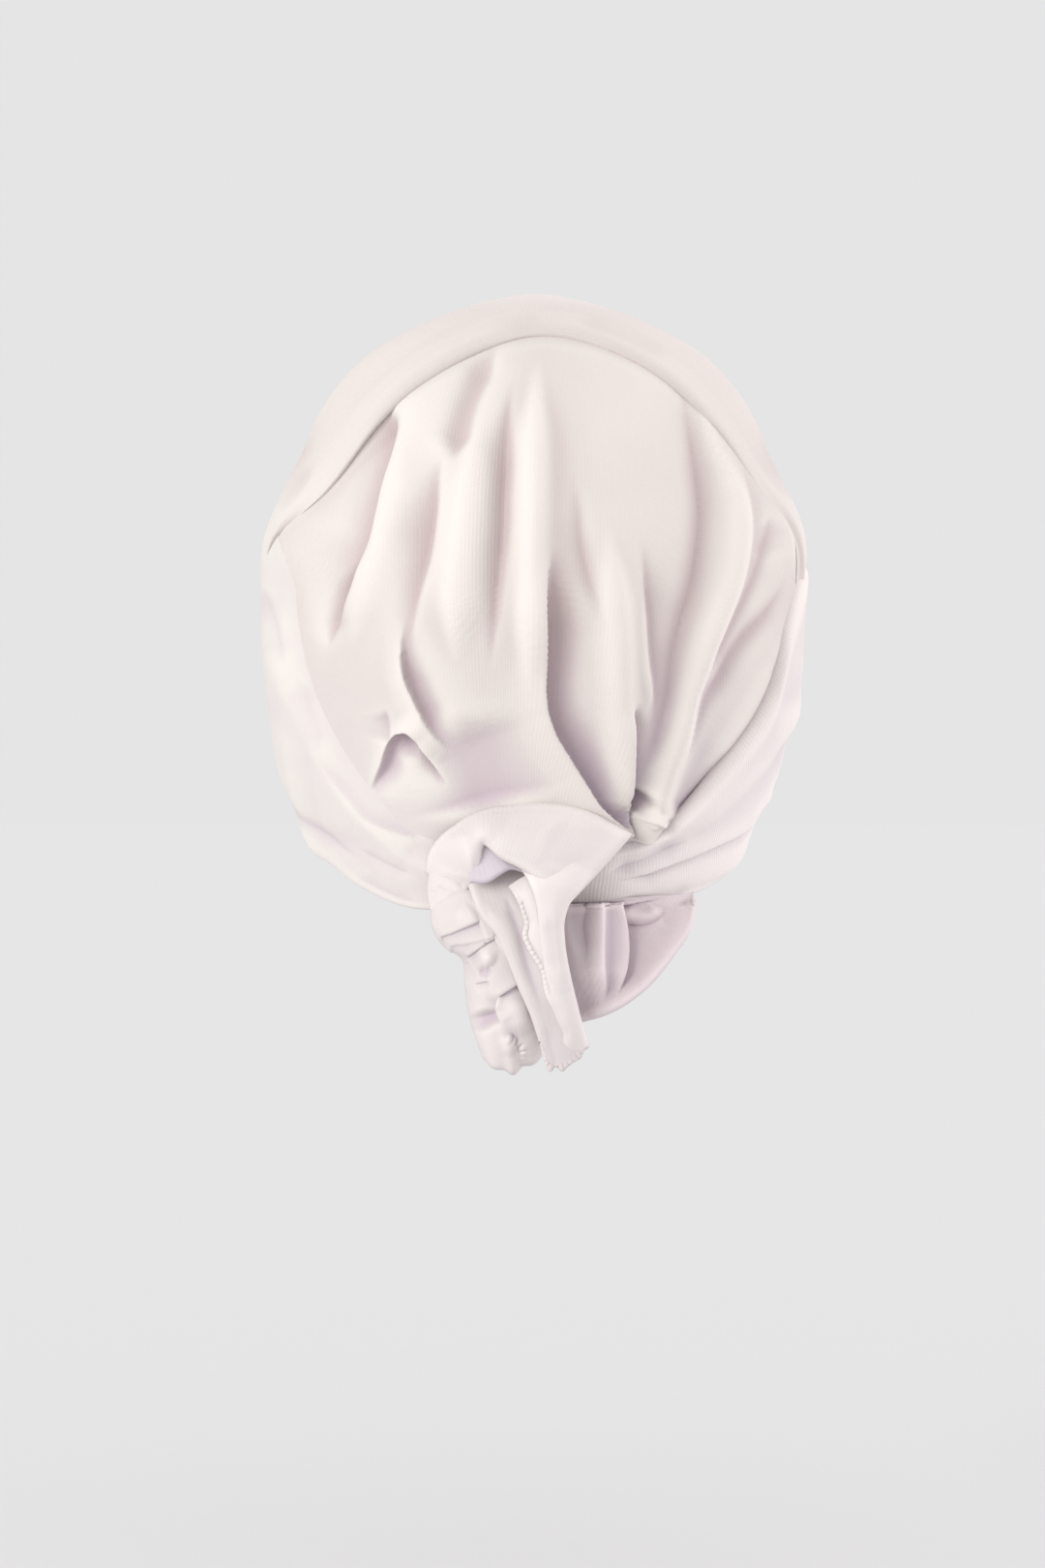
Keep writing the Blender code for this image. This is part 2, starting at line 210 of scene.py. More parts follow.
def form_point(way):
    """The points of the form in these directions from its centre."""
    elevation = elevation_of(way)
    level = np.maximum(np.hypot(way[..., 0], way[..., 1]), 1e-9)
    sideways, backward = way[..., 0] / level, -way[..., 1] / level
    side, back, front = (smooth(elevation, FORM["elevation"], FORM[c]) for c in ("side", "back", "front"))
    fore = front + (back - front) * ease(0.5 + backward)
    power = SQUARENESS + (2 - SQUARENESS) * ease((elevation - ROUND_FROM) / (ROUND_AT - ROUND_FROM))
    reach = (np.abs(sideways / side) ** power + np.abs(backward / fore) ** power) ** (-1 / power)
    return CENTRE + way * reach[..., None]


def unit(vectors):
    """The vectors at length one."""
    return vectors / np.linalg.norm(vectors, axis=-1, keepdims=True)


def outward(way):
    """The points of the form in these directions, and the unit vectors square to the form there."""
    step = 1e-3
    aside = unit(np.cross(way, np.array([0.0, 0.0, 1.0]) + 1e-6))
    along = np.cross(aside, way)
    here = form_point(way)
    further, beside = (form_point(unit(way + turn * step)) - here for turn in (along, aside))
    normal = unit(np.cross(further, beside))
    return here, normal * np.sign((normal * way).sum(axis=-1, keepdims=True))


def ears(way):
    """How far the cloth stands out where the ties are sewn on beside the ears, and draws in above them."""
    elevation = elevation_of(way)
    swell = sum(far * bell((elevation - at) / wide) for far, at, wide in EAR_BANDS)
    return swell * ease((np.abs(way[..., 0]) - 0.6) / 0.3)


def on_form(way, lift, shift_x=0.0, shift_z=0.0):
    """Points that stand off the form by the lift, shifted along it as seen from behind."""
    here, normal = outward(way)
    lift = lift + ears(way)
    shift = np.stack([shift_x + 0 * here[..., 0], 0 * here[..., 0], shift_z + 0 * here[..., 0]], axis=-1)
    shift -= normal * (shift * normal).sum(axis=-1, keepdims=True)
    return here + normal * lift[..., None] + shift


def seen_from_behind(points):
    """The x and z at which points show in the plane y = 0."""
    away = points - EYE
    scale = EYE[1] / (EYE[1] - points[..., 1])
    return EYE[0] + away[..., 0] * scale, EYE[2] + away[..., 2] * scale


def placed(x, y, z):
    """The points at depth y that show at x and z in the plane y = 0."""
    scale = (EYE[1] - y) / EYE[1]
    return np.stack([EYE[0] + (x - EYE[0]) * scale, y + 0 * x, EYE[2] + (z - EYE[2]) * scale], axis=-1)


def in_plane(pixels):
    """The x and z in the plane y = 0 of places that are read in pixels."""
    pixels = np.array(pixels, float)
    return np.stack(
        [(pixels[:, 0] - PIXEL_X0) * PIXEL, PIXEL_Z0 - (pixels[:, 1] - PIXEL_Y0) * PIXEL], axis=1
    )


# Strokes: how the folds are drawn, in mm. A stroke thins out to a share of its width at its ends, and reaches
# a few widths out. A step's edge is this soft, has this share of its height above the cloth, and hangs over by
# a share of its height
PATH_POINTS, EDGE_POINTS = 90, 200
SHARPNESS = {"fold": 2.0, "crease": 1.25, "serge": 2.0}
THINNEST, THINNEST_STEP = 0.35, 0.55
WIDTHS_OUT = 2.6
SERGE_PITCH = 1.7
STEP_SOFTNESS = 1.1
STEP_ABOVE = 0.2
OVERHANG, MOST_OVERHANG, OVERHANG_WIDTH = 0.5, 2.6, 4.0


def even_path(points, count=PATH_POINTS):
    """A smooth line through the points, evenly spaced."""
    points = np.array(points, float)
    steps = np.linalg.norm(np.diff(points[:, :2], axis=0), axis=1)
    at = np.concatenate([[0], np.cumsum(steps)])
    fine = np.linspace(0, at[-1], count)
    return np.stack([smooth(fine, at, column) for column in points.T], axis=1)


def drawn(strokes, x, z):
    """The height of all the strokes at these places, and how far they shift the cloth in x and z.

    A fold rises by its height, or sinks if that is negative, and dies out over its left and right widths,
    as seen from behind along a path that runs down. A crease does so with a sharp middle, and a serge is a
    fold that beads along its length, as overlocked thread does. A step is the edge of a fold that lies over
    the cloth beside it: high on its left, low on its right, or the other way if its height is negative."""
    height, shift_x, shift_z = np.zeros_like(x), np.zeros_like(x), np.zeros_like(x)
    for kind, rise, left, right, fade_in, fade_out, pixels in strokes:
        line = even_path(in_plane(pixels))
        heading = unit(np.gradient(line, axis=0))
        reach = WIDTHS_OUT * max(left, right)
        low, high = line.min(axis=0) - reach, line.max(axis=0) + reach
        near = np.flatnonzero((x > low[0]) & (x < high[0]) & (z > low[1]) & (z < high[1]))
        if not len(near):
            continue
        away_x, away_z = x[near, None] - line[:, 0], z[near, None] - line[:, 1]
        nearest = np.hypot(away_x, away_z).argmin(axis=1)
        rows = np.arange(len(near))
        dx, dz = away_x[rows, nearest], away_z[rows, nearest]
        turn = heading[nearest]
        square = -turn[:, 1] * dx + turn[:, 0] * dz
        off = np.where(square >= 0, 1.0, -1.0) * np.hypot(dx, dz)
        share = nearest / (PATH_POINTS - 1)
        fade = ease(share / max(fade_in, 1e-6)) * ease((1 - share) / max(fade_out, 1e-6))
        narrow = THINNEST_STEP if kind == "step" else THINNEST
        width = np.where(off < 0, left, right) * (narrow + (1 - narrow) * fade)
        hump = np.exp(-(np.abs(off / width) ** SHARPNESS.get(kind, 2.0)))
        if kind in SHARPNESS:
            length = nearest * np.linalg.norm(np.diff(line[:2], axis=0))
            beads = 0.55 + 0.45 * np.cos(2 * math.pi * length / SERGE_PITCH) if kind == "serge" else 1
            height[near] += rise * fade * hump * beads
            continue
        side = -np.tanh(off / STEP_SOFTNESS)
        edge = side * math.copysign(1.0, rise)
        above = np.where(edge > 0, STEP_ABOVE, 1 - STEP_ABOVE)
        height[near] += abs(rise) * fade * hump * above * edge
        overhang = min(OVERHANG * abs(rise), MOST_OVERHANG) * fade * bell(off / OVERHANG_WIDTH) * side
        shift_x[near] += overhang * -turn[:, 1]
        shift_z[near] += overhang * turn[:, 0]
    return height, shift_x, shift_z


# How much the folds of the back panel stand out, against the heights in its strokes
RELIEF = 1.35

# Strokes: the kind, the height, the widths left and right, the shares that fade in and out, and the path
BACK_STROKES = (
    # The valley under the seam, sharp on its right, and the slit where it closes
    ("crease", -5.0, 9.0, 2.6, 0.12, 0.4, (
        (401, 408), (402, 435), (397, 460), (388, 491), (378, 530), (372, 556), (362, 582), (354, 604),
        (348, 626), (345, 664),
    )),
    ("crease", -2.6, 1.6, 3.0, 0.4, 0.3, ((366, 570), (357, 594), (350, 614), (346, 640), (345, 670))),
    ("fold", 1.0, 5.0, 5.0, 0.3, 0.3, ((414, 440), (404, 520), (388, 580), (374, 630), (368, 680))),
    # The soft hollow below the arch, and the deep valley under it, whose lower left lip lies over it
    ("fold", -2.2, 5.0, 3.5, 0.3, 0.25, (
        (516, 356), (498, 388), (485, 416), (477, 442), (472, 466), (470, 482),
    )),
    ("crease", -4.2, 8.0, 2.2, 0.45, 0.6, (
        (462, 464), (455, 486), (449, 520), (443, 548), (438, 580), (433, 604), (429, 630), (427, 655),
        (428, 680),
    )),
    ("step", 4.2, 4.0, 5.5, 0.5, 0.35, (
        (421, 632), (418, 666), (418, 686), (421, 701), (428, 718), (437, 736), (447, 753), (457, 768),
        (468, 784),
    )),
    ("fold", -2.6, 12.0, 15.0, 0.4, 0.2, ((462, 735), (478, 765), (492, 795), (500, 822), (505, 845))),
    ("fold", 2.0, 5.0, 7.5, 0.3, 0.3, ((497, 430), (490, 490), (481, 550), (472, 620), (474, 690))),
    # The valley and the bright ridge of the middle
    ("crease", -2.9, 4.2, 1.8, 0.35, 0.45, (
        (531, 392), (527, 420), (525, 454), (524, 485), (522, 515), (521, 546), (518, 577), (515, 608),
        (513, 638), (509, 674), (508, 700),
    )),
    ("fold", 2.8, 5.4, 4.5, 0.3, 0.3, ((556, 372), (554, 450), (553, 545), (551, 641), (547, 720))),
    # The long overlap from the middle down to the knot
    ("step", 5.2, 9.0, 10.5, 0.3, 0.06, (
        (569, 562), (567, 590), (564, 620), (563, 651), (563, 682), (562, 713), (564, 733), (571, 754),
        (587, 782), (602, 807), (618, 832), (633, 847), (649, 861),
    )),
    # The folds beside it
    ("crease", -1.3, 5.0, 2.2, 0.5, 0.5, (
        (590, 486), (598, 535), (600, 555), (604, 576), (608, 594), (613, 611), (619, 634), (626, 664),
    )),
    ("fold", 2.2, 6.0, 4.5, 0.3, 0.08, (
        (625, 540), (633, 590), (638, 640), (640, 700), (641, 780), (644, 850),
    )),
    ("crease", -1.7, 1.6, 6.0, 0.4, 0.4, (
        (660, 548), (664, 574), (668, 606), (670, 640), (672, 668), (676, 700), (677, 730), (670, 765),
    )),
    ("fold", 0.8, 1.5, 1.3, 0.3, 0.3, ((664, 600), (666, 640), (667, 690), (670, 722), (664, 742))),
    # The edge above the knot's right tip
    ("step", 4.6, 4.0, 3.4, 0.22, 0.02, ((653, 722), (651, 745), (650.6, 770), (650.6, 820), (650.6, 864))),
    # The broad valley on the right, and the long bright ridge that closes it
    ("fold", -1.2, 26.0, 4.0, 0.35, 0.3, (
        (692, 372), (703, 406), (714, 456), (727, 525), (718, 606), (701, 672), (687, 737),
    )),
    ("crease", -2.1, 4.4, 2.0, 0.35, 0.15, (
        (699, 392), (703, 406), (708, 432), (714, 456), (722, 490), (727, 525), (725, 562), (718, 606),
        (708, 642), (701, 672), (695, 705), (687, 737), (678, 764), (668, 786), (660, 806),
    )),
    ("fold", 2.8, 3.4, 5.0, 0.35, 0.03, (
        (712, 396), (718, 408), (729, 455), (746, 497), (755, 530), (755, 565), (749, 599), (738, 632),
        (727, 664), (717, 700), (706, 735), (695, 764), (685, 792), (678, 818), (670, 852),
    )),
    # The small dark hole above the knot, and the lobe below it
    ("fold", -6.0, 2.6, 2.6, 0.25, 0.2, ((670, 819), (662, 826), (654, 838))),
    ("fold", 2.6, 3.4, 3.4, 0.3, 0.1, ((678, 834), (670, 850), (664, 872))),
    # The softer folds between that ridge and the right tie
    ("fold", -1.0, 2.6, 2.6, 0.25, 0.3, (
        (758, 474), (770, 518), (774, 549), (771, 580), (759, 621), (745, 658), (727, 699), (712, 740),
        (704, 775),
    )),
    ("crease", -0.9, 1.2, 1.4, 0.2, 0.2, (
        (784, 529), (787, 552), (781, 575), (776, 592), (765, 618), (755, 643), (744, 668), (730, 700),
    )),
    ("fold", -0.8, 2.4, 4.0, 0.4, 0.4, ((788, 532), (785, 556), (780, 582))),
    ("crease", -2.8, 4.0, 2.4, 0.35, 0.4, (
        (806, 592), (796, 620), (786, 639), (771, 657), (755, 679), (743, 701), (727, 723), (717, 745),
        (709, 768), (700, 792),
    )),
    ("fold", 1.0, 4.0, 4.0, 0.3, 0.3, ((806, 650), (790, 690), (768, 730), (740, 770), (712, 806))),
    ("crease", -1.3, 6.5, 2.6, 0.2, 0.08, (
        (812, 655), (808, 672), (801, 697), (789, 727), (777, 750), (764, 768), (748, 787), (730, 806),
        (711, 824), (692, 846),
    )),
    # The tucked pleat at the lower left
    ("step", 3.4, 2.6, 6.5, 0.05, 0.5, (
        (420, 753.5), (412, 756), (406, 762), (401.5, 773), (397.5, 787), (391.5, 803), (384, 822),
    )),
    ("step", -3.2, 4.4, 2.6, 0.05, 0.5, (
        (415, 753.6), (423, 754.5), (430, 761), (437, 772), (444, 783), (452, 796), (466, 817),
    )),
    ("fold", -3.0, 1.7, 0.9, 0.03, 0.5, (
        (421, 758), (428, 767), (435, 778), (443, 789), (452, 801), (462, 814),
    )),
    ("fold", -1.2, 2.4, 1.6, 0.05, 0.5, ((413, 757), (418, 766), (424, 776), (432, 788))),
    ("crease", -0.9, 3.0, 0.9, 0.35, 0.3, ((402, 730), (402, 745), (401, 758), (400, 768))),
    ("fold", 0.7, 3.4, 3.4, 0.4, 0.4, ((408, 744), (418, 748), (430, 753), (442, 764))),
)

LEFT_STROKES = (
    ("crease", -0.9, 3.0, 1.2, 0.3, 0.3, ((288, 600), (296, 632), (303, 657), (311, 692))),
    ("crease", -0.6, 2.6, 1.6, 0.3, 0.3, ((318, 695), (330, 730), (340, 757), (346, 782))),
    ("step", 1.2, 4.0, 3.0, 0.4, 0.1, ((338, 770), (356, 800), (371, 819), (389, 840), (416, 856), (440, 866))),
    ("crease", -1.1, 2.4, 1.4, 0.3, 0.3, (
        (300, 770), (308, 795), (316, 812), (326, 828), (342, 846), (356, 858), (372, 871), (390, 881),
    )),
    ("crease", -0.7, 1.6, 1.6, 0.3, 0.3, ((384, 868), (402, 880), (422, 890), (440, 896))),
    ("crease", -0.6, 2.4, 2.0, 0.3, 0.3, ((380, 896), (410, 914), (446, 928))),
    ("fold", 0.8, 5.0, 5.0, 0.3, 0.3, ((300, 720), (322, 790), (352, 830), (400, 866))),
    ("crease", -0.7, 1.0, 1.0, 0.2, 0.3, ((267, 632), (274, 630), (282, 631))),
)

RIGHT_STROKES = (
    ("fold", 1.6, 4.0, 3.0, 0.2, 0.3, ((822, 700), (800, 738), (770, 780), (736, 816), (700, 846), (664, 868))),
    ("crease", -2.0, 3.0, 2.0, 0.25, 0.3, ((828, 700), (822, 735), (811, 770), (799, 794), (783, 819))),
    ("step", 3.6, 5.0, 3.5, 0.3, 0.15, (
        (810, 790), (802, 804), (780, 826), (758, 850), (727, 866), (696, 879), (665, 891), (630, 902),
    )),
    ("crease", -1.8, 2.5, 2.0, 0.3, 0.3, ((700, 858), (665, 876), (640, 886), (618, 896))),
    ("crease", -1.0, 1.5, 2.0, 0.3, 0.2, ((760, 884), (730, 902), (690, 916), (620, 926))),
    ("fold", 0.9, 3.0, 2.0, 0.3, 0.3, ((828, 640), (818, 690), (800, 738), (776, 780))),
)

FRONT_STROKES = (
    ("fold", -0.8, 2.6, 2.0, 0.3, 0.3, ((580, 335), (626, 348), (668, 367), (700, 386))),
    ("fold", -0.4, 2.2, 2.2, 0.3, 0.3, ((334, 478), (312, 515), (297, 545))),
    ("fold", 0.3, 3.0, 3.0, 0.3, 0.3, ((322, 470), (300, 510), (284, 545))),
    ("crease", -0.9, 0.8, 0.8, 0.2, 0.2, ((274, 554), (286, 553), (297, 554))),
)

# Hollows in the cloth, where the material paints shade, are told by how deep they are over these distances, and don't
# count this near its borders
HOLLOW_SCALES = ((2.7, 1.5), (8.0, 2.4), (18.0, 4.5))
FORM_RADIUS = 85.0
BORDER_SHARE = 0.035


def hollows(net, cells):
    """How far each place of a net of points lies below the mean of those around it."""
    mean = net.copy()
    for axis in (0, 1):
        pad = [(0, 0)] * 3
        pad[axis] = (cells + 1, cells)
        total = np.cumsum(np.pad(mean, pad, mode="edge"), axis=axis)
        width = 2 * cells + 1
        high = np.take(total, np.arange(width, total.shape[axis]), axis=axis)
        low = np.take(total, np.arange(0, total.shape[axis] - width), axis=axis)
        mean = (high - low) / width
    across, down = np.gradient(net, axis=1), np.gradient(net, axis=0)
    normal = np.cross(down, across)
    normal /= np.maximum(np.linalg.norm(normal, axis=-1, keepdims=True), 1e-12)
    return ((mean - net) * normal).sum(axis=-1)


def grid_cloth(name, columns, rows, place, material, thickness=JERSEY):
    """A sheet of jersey: a fine grid laid by place(u, v), u from left to right and v from top to bottom.

    A sheet whose edges all lie under others has no thickness, so that its grid can be finer."""
    u, v = np.meshgrid(np.linspace(0, 1, columns + 1), np.linspace(0, 1, rows + 1))
    points = place(u.ravel(), v.ravel()) * MM
    net = points.reshape(rows + 1, columns + 1, 3)
    index = np.arange(len(points)).reshape(rows + 1, columns + 1)
    corners = (index[1:, :-1], index[1:, 1:], index[:-1, 1:], index[:-1, :-1])
    faces = np.stack([corner.ravel() for corner in corners], axis=1)
    mesh = bpy.data.meshes.new(name)
    mesh.from_pydata(points.tolist(), [], faces.tolist())
    measure_cloth(mesh, net, faces)
    spacing = np.linalg.norm(np.diff(net[:, columns // 2], axis=0), axis=1).mean()
    hollow = np.zeros(net.shape[:2])
    for reach, depth in HOLLOW_SCALES:
        cells = round(reach * MM / spacing)
        if 0 < cells < rows / 5:
            roundness = (reach * MM) ** 2 / (3 * FORM_RADIUS * MM)
            hollow = hollow + (hollows(net, cells) + roundness) / (depth * MM)
    rim = np.minimum(np.minimum(u, 1 - u), np.minimum(v, 1 - v)).reshape(hollow.shape)
    # The hollow attribute: how deep each place lies, which the material turns into painted shade in hollows and a
    # painted highlight on ridges
    layer = mesh.attributes.new("hollow", "FLOAT", "POINT")
    hollow = np.tanh(hollow) * ease(rim / BORDER_SHARE)
    layer.data.foreach_set("value", hollow.astype(np.float32).ravel())
    mesh.shade_smooth()
    mesh.materials.append(material)
    piece = bpy.data.objects.new(name, mesh)
    bpy.context.scene.collection.objects.link(piece)
    if thickness:
        shell = piece.modifiers.new("thickness", "SOLIDIFY")
        shell.thickness = thickness * MM
        shell.offset = 0
    return piece


def measure_cloth(mesh, net, faces):
    """A UV map in metres of cloth: along the middle row, and down the middle column."""
    rows, columns = net.shape[:2]
    across = np.linalg.norm(np.diff(net[rows // 2], axis=0), axis=1)
    down = np.linalg.norm(np.diff(net[:, columns // 2], axis=0), axis=1)
    u = np.concatenate([[0], np.cumsum(across)])
    v = np.concatenate([[0], np.cumsum(down)])
    flat = np.stack(np.meshgrid(u, v), axis=-1).reshape(-1, 2)
    layer = mesh.uv_layers.new(name="cloth")
    layer.data.foreach_set("uv", flat[faces.ravel()].astype(np.float32).ravel())


# The jersey's knit in m: the pitch of its ribs, and how far they and its crinkles stand out
RIB_PITCH = 0.0012
KNIT_DEPTH = 0.0004
# How much lighter the ridges are painted: a painted highlight
RIDGE_LIGHT = 1.13


def node(tree, kind, **values):
    """A new shader node, with some of its properties or inputs set."""
    made = tree.nodes.new(kind)
    for name, value in values.items():
        if name in made.inputs:
            made.inputs[name].default_value = value
        else:
            setattr(made, name, value)
    return made


def ranged(tree, value, start, end, low=0.0, high=1.0):
    """The output of a node that turns the range from start to end into the one from low to high."""
    made = node(tree, "ShaderNodeMapRange")
    for key, number in (("From Min", start), ("From Max", end), ("To Min", low), ("To Max", high)):
        made.inputs[key].default_value = number
    tree.links.new(value, made.inputs["Value"])
    return made.outputs["Result"]


def jersey(name, lit, shaded, low_lit=None, low_shaded=None, ribbing=0.18, heights=(-0.10, -0.165)):
    """Fine rib-knit jersey: pale and matt, with painted shade that turns its hollows towards the shaded colour, a
    painted highlight on its ridges, and ribs, rows of stitches and crinkles.

    Between the two heights, in m, it turns from its first colours to its low ones: painted light and shade that
    change with height."""
    material = bpy.data.materials.new(name)
    material.use_nodes = True
    tree = material.node_tree
    link = tree.links.new
    shader = tree.nodes["Principled BSDF"]
    shader.inputs["Roughness"].default_value = 0.85
    shader.inputs["Sheen Weight"].default_value = 0.15
    shader.inputs["Sheen Roughness"].default_value = 0.5
    shader.inputs["Specular IOR Level"].default_value = 0.2

    hollow = node(tree, "ShaderNodeAttribute", attribute_name="hollow")
    cloud = node(tree, "ShaderNodeTexNoise", Scale=38.0, Detail=3.0)
    place = node(tree, "ShaderNodeTexCoord")
    link(place.outputs["Object"], cloud.inputs["Vector"])
    # Painted shade: the deeper a hollow, the more the lit colour turns into the shaded one, with a random mottle of
    # tone added
    level = ranged(tree, hollow.outputs["Fac"], -0.1, 1.0)
    ridge = ranged(tree, hollow.outputs["Fac"], -0.05, -0.8)
    mottle_and_painted_shade = node(tree, "ShaderNodeMath", operation="MULTIPLY_ADD")
    mottle_and_painted_shade.inputs[1].default_value = 0.2
    link(cloud.outputs["Fac"], mottle_and_painted_shade.inputs[0])
    link(level, mottle_and_painted_shade.inputs[2])
    shift = node(tree, "ShaderNodeMath", operation="SUBTRACT")
    shift.inputs[1].default_value = 0.1
    link(mottle_and_painted_shade.outputs[0], shift.inputs[0])
    mix = node(tree, "ShaderNodeMix", data_type="RGBA")
    # Painted light and shade by height: between the two heights the colours turn to the low ones
    height = node(tree, "ShaderNodeSeparateXYZ")
    link(place.outputs["Object"], height.inputs[0])
    low = ranged(tree, height.outputs["Z"], *heights)
    for socket, high_colour, low_colour in (("A", lit, low_lit or lit), ("B", shaded, low_shaded or shaded)):
        tint = node(tree, "ShaderNodeMix", data_type="RGBA")
        tint.inputs["A"].default_value = (*high_colour, 1)
        tint.inputs["B"].default_value = (*low_colour, 1)
        link(low, tint.inputs["Factor"])
        if socket == "A":
            # Painted highlight: on ridges the lit colour is painted lighter by the ridge light
            painted_ridge_highlight = node(tree, "ShaderNodeMix", data_type="RGBA")
            painted_ridge_highlight.inputs["B"].default_value = (*(RIDGE_LIGHT * part for part in lit), 1)
            link(ridge, painted_ridge_highlight.inputs["Factor"])
            link(tint.outputs["Result"], painted_ridge_highlight.inputs["A"])
            tint = painted_ridge_highlight
        link(tint.outputs["Result"], mix.inputs[socket])
    link(shift.outputs[0], mix.inputs["Factor"])
    link(mix.outputs["Result"], shader.inputs["Base Color"])

    cloth = node(tree, "ShaderNodeUVMap", uv_map="cloth")
    ribs = node(tree, "ShaderNodeTexWave", wave_type="BANDS", bands_direction="X")
    ribs.inputs["Scale"].default_value = 2 * math.pi / RIB_PITCH / 20
    ribs.inputs["Distortion"].default_value = 1.2
    ribs.inputs["Detail"].default_value = 1.0
    ribs.inputs["Detail Scale"].default_value = 0.4
    link(cloth.outputs["UV"], ribs.inputs["Vector"])
    squeeze = node(tree, "ShaderNodeMapping")
    squeeze.inputs["Scale"].default_value = (150.0, 620.0, 1.0)
    link(cloth.outputs["UV"], squeeze.inputs["Vector"])
    crinkle = node(tree, "ShaderNodeTexNoise", Scale=1.0, Detail=2.0)
    link(squeeze.outputs["Vector"], crinkle.inputs["Vector"])
    patches = node(tree, "ShaderNodeTexNoise", Scale=55.0, Detail=1.0)
    link(place.outputs["Object"], patches.inputs["Vector"])
    where = ranged(tree, patches.outputs["Fac"], 0.42, 0.68, 0.15, 1.0)
    patchy = node(tree, "ShaderNodeMath", operation="MULTIPLY")
    link(crinkle.outputs["Fac"], patchy.inputs[0])
    link(where, patchy.inputs[1])
    weave = node(tree, "ShaderNodeMath", operation="MULTIPLY_ADD")
    weave.inputs[1].default_value = ribbing
    link(ribs.outputs["Fac"], weave.inputs[0])
    link(patchy.outputs[0], weave.inputs[2])
    bump = node(tree, "ShaderNodeBump", Strength=0.45, Distance=KNIT_DEPTH)
    link(weave.outputs[0], bump.inputs["Height"])
    link(bump.outputs["Normal"], shader.inputs["Normal"])
    return material


# The shares of the panels' widths where the arched seam shows, and the dip in it beside the middle
FRONT_SEAM, BACK_SEAM = (0.325, 0.72, 0.06), (0.22, 0.76, 0.08)
SEAM_DIP = (0.485, 0.02)
# The share of its height in which the back panel tucks in under the front panel beside the right tie
TUCKED = 0.06


def place_front_panel(u, v):
    """From the hem at the face, over the crown, to the rear edge, which is sewn to the back panel."""
    way = arcs(FRONT_PANEL, "along", u, 1 - v)
    x, z = seen_from_behind(form_point(way))
    height, shift_x, shift_z = drawn(FRONT_STROKES, x, z)
    behind = ease(-way[:, 1] / 0.2)
    seam = window(u, *FRONT_SEAM) * (1 - 0.7 * bell((u - SEAM_DIP[0]) / SEAM_DIP[1]))
    # Away from the seam the edge falls to the back panel, gently at the right
    wide = 0.1 + 0.3 * ease((u - 0.74) / 0.06)
    fall = 0.7 * seam * ease((v - 0.8) / 0.17) + 1.75 * (1 - seam) * ease((v - 1 + wide) / wide)
    turned = (0.15 + 1.65 * seam) * (1 - rounded((1 - v) / 0.012))
    roll = 0.5 * window(v, 0.9, 1.0, 0.04) * seam
    hem = 0.7 * window(v, 0.0, 0.07, 0.012) - 0.5 * bell((v - 0.066) / 0.006)
    return on_form(way, FRONT_LIFT + JERSEY / 2 - fall - turned + roll + hem + height * behind)


def place_back_panel(u, v):
    """From under the arched seam down to the nape, with the folds that gather there.

    At the right its upper border reaches further under the front panel, so that no gap shows beside the tie."""
    way = arcs(BACK_PANEL, "across", u, v)
    beside = ease((u - 0.84) / 0.06)
    inside = arcs(BACK_PANEL, "across", u, np.maximum(v, TUCKED))
    way = unit(way + 2.0 * (way - inside) * beside[:, None])
    x, z = seen_from_behind(form_point(way))
    height, shift_x, shift_z = drawn(BACK_STROKES, x, z)
    free = ease((v - 0.025) / 0.07)
    sunk = 0.8 * window(u, *BACK_SEAM) * (1 - ease((v - 0.04) / 0.06))
    tucked = BACK_LIFT * beside * (1 - ease(v / TUCKED))
    lift = JERSEY / 2 + BACK_LIFT - sunk - tucked
    return on_form(way, lift + RELIEF * height * free, shift_x * free, shift_z * free)


def place_tie(edges, strokes, start, edge_form, bulge, u, v):
    """From the side seam, where u is 0, to the knot, starting in its width at start(u).

    The edge form says how far its upper edge sinks, and the bulge how much fuller it is beside the ear."""
    gather = ease((u - 0.6) / 0.4)
    first = start(u)
    way = arcs(edges, "along", u, first + (1 - first) * v)
    x, z = seen_from_behind(form_point(way))
    height, shift_x, shift_z = drawn(strokes, x, z)
    free = ease(u / 0.25)
    sewn = 1.2 * (1 - ease(u / 0.05))
    edge = edge_form(u, v) + 2.0 * (1 - rounded((1 - v) / 0.06))
    fuller = bulge * window(u, 0.02, 0.55, 0.15) * (1 + ease((v - 0.5) / 0.4))
    lift = TIE_LIFT + JERSEY / 2 + 0.8 * gather + height * free + fuller - edge - sewn
    return on_form(way, lift, shift_x * free, shift_z * free)


def melting_edge(u, v):
    """How far an upper edge sinks that runs smoothly out from under the panel."""
    return (3.4 + 1.5 * ease((u - 0.15) / 0.25)) * (1 - ease(v / 0.45))


def rolled_edge(u, v):
    """How far an upper edge sinks that is turned under in a thick roll."""
    return 5.2 * (1 - rounded(v / 0.09))


def hidden_start(u):
    """Where in its width the left tie starts: above its own upper edge, under the front panel."""
    return -0.10 + 0.04 * ease((u - 0.3) / 0.2)


def rolled_start(u):
    """The same for the right tie: below the edge, and lower yet where the roll turns in to the knot."""
    return 0.04 + 0.14 * bell((u - 0.86) / 0.07)


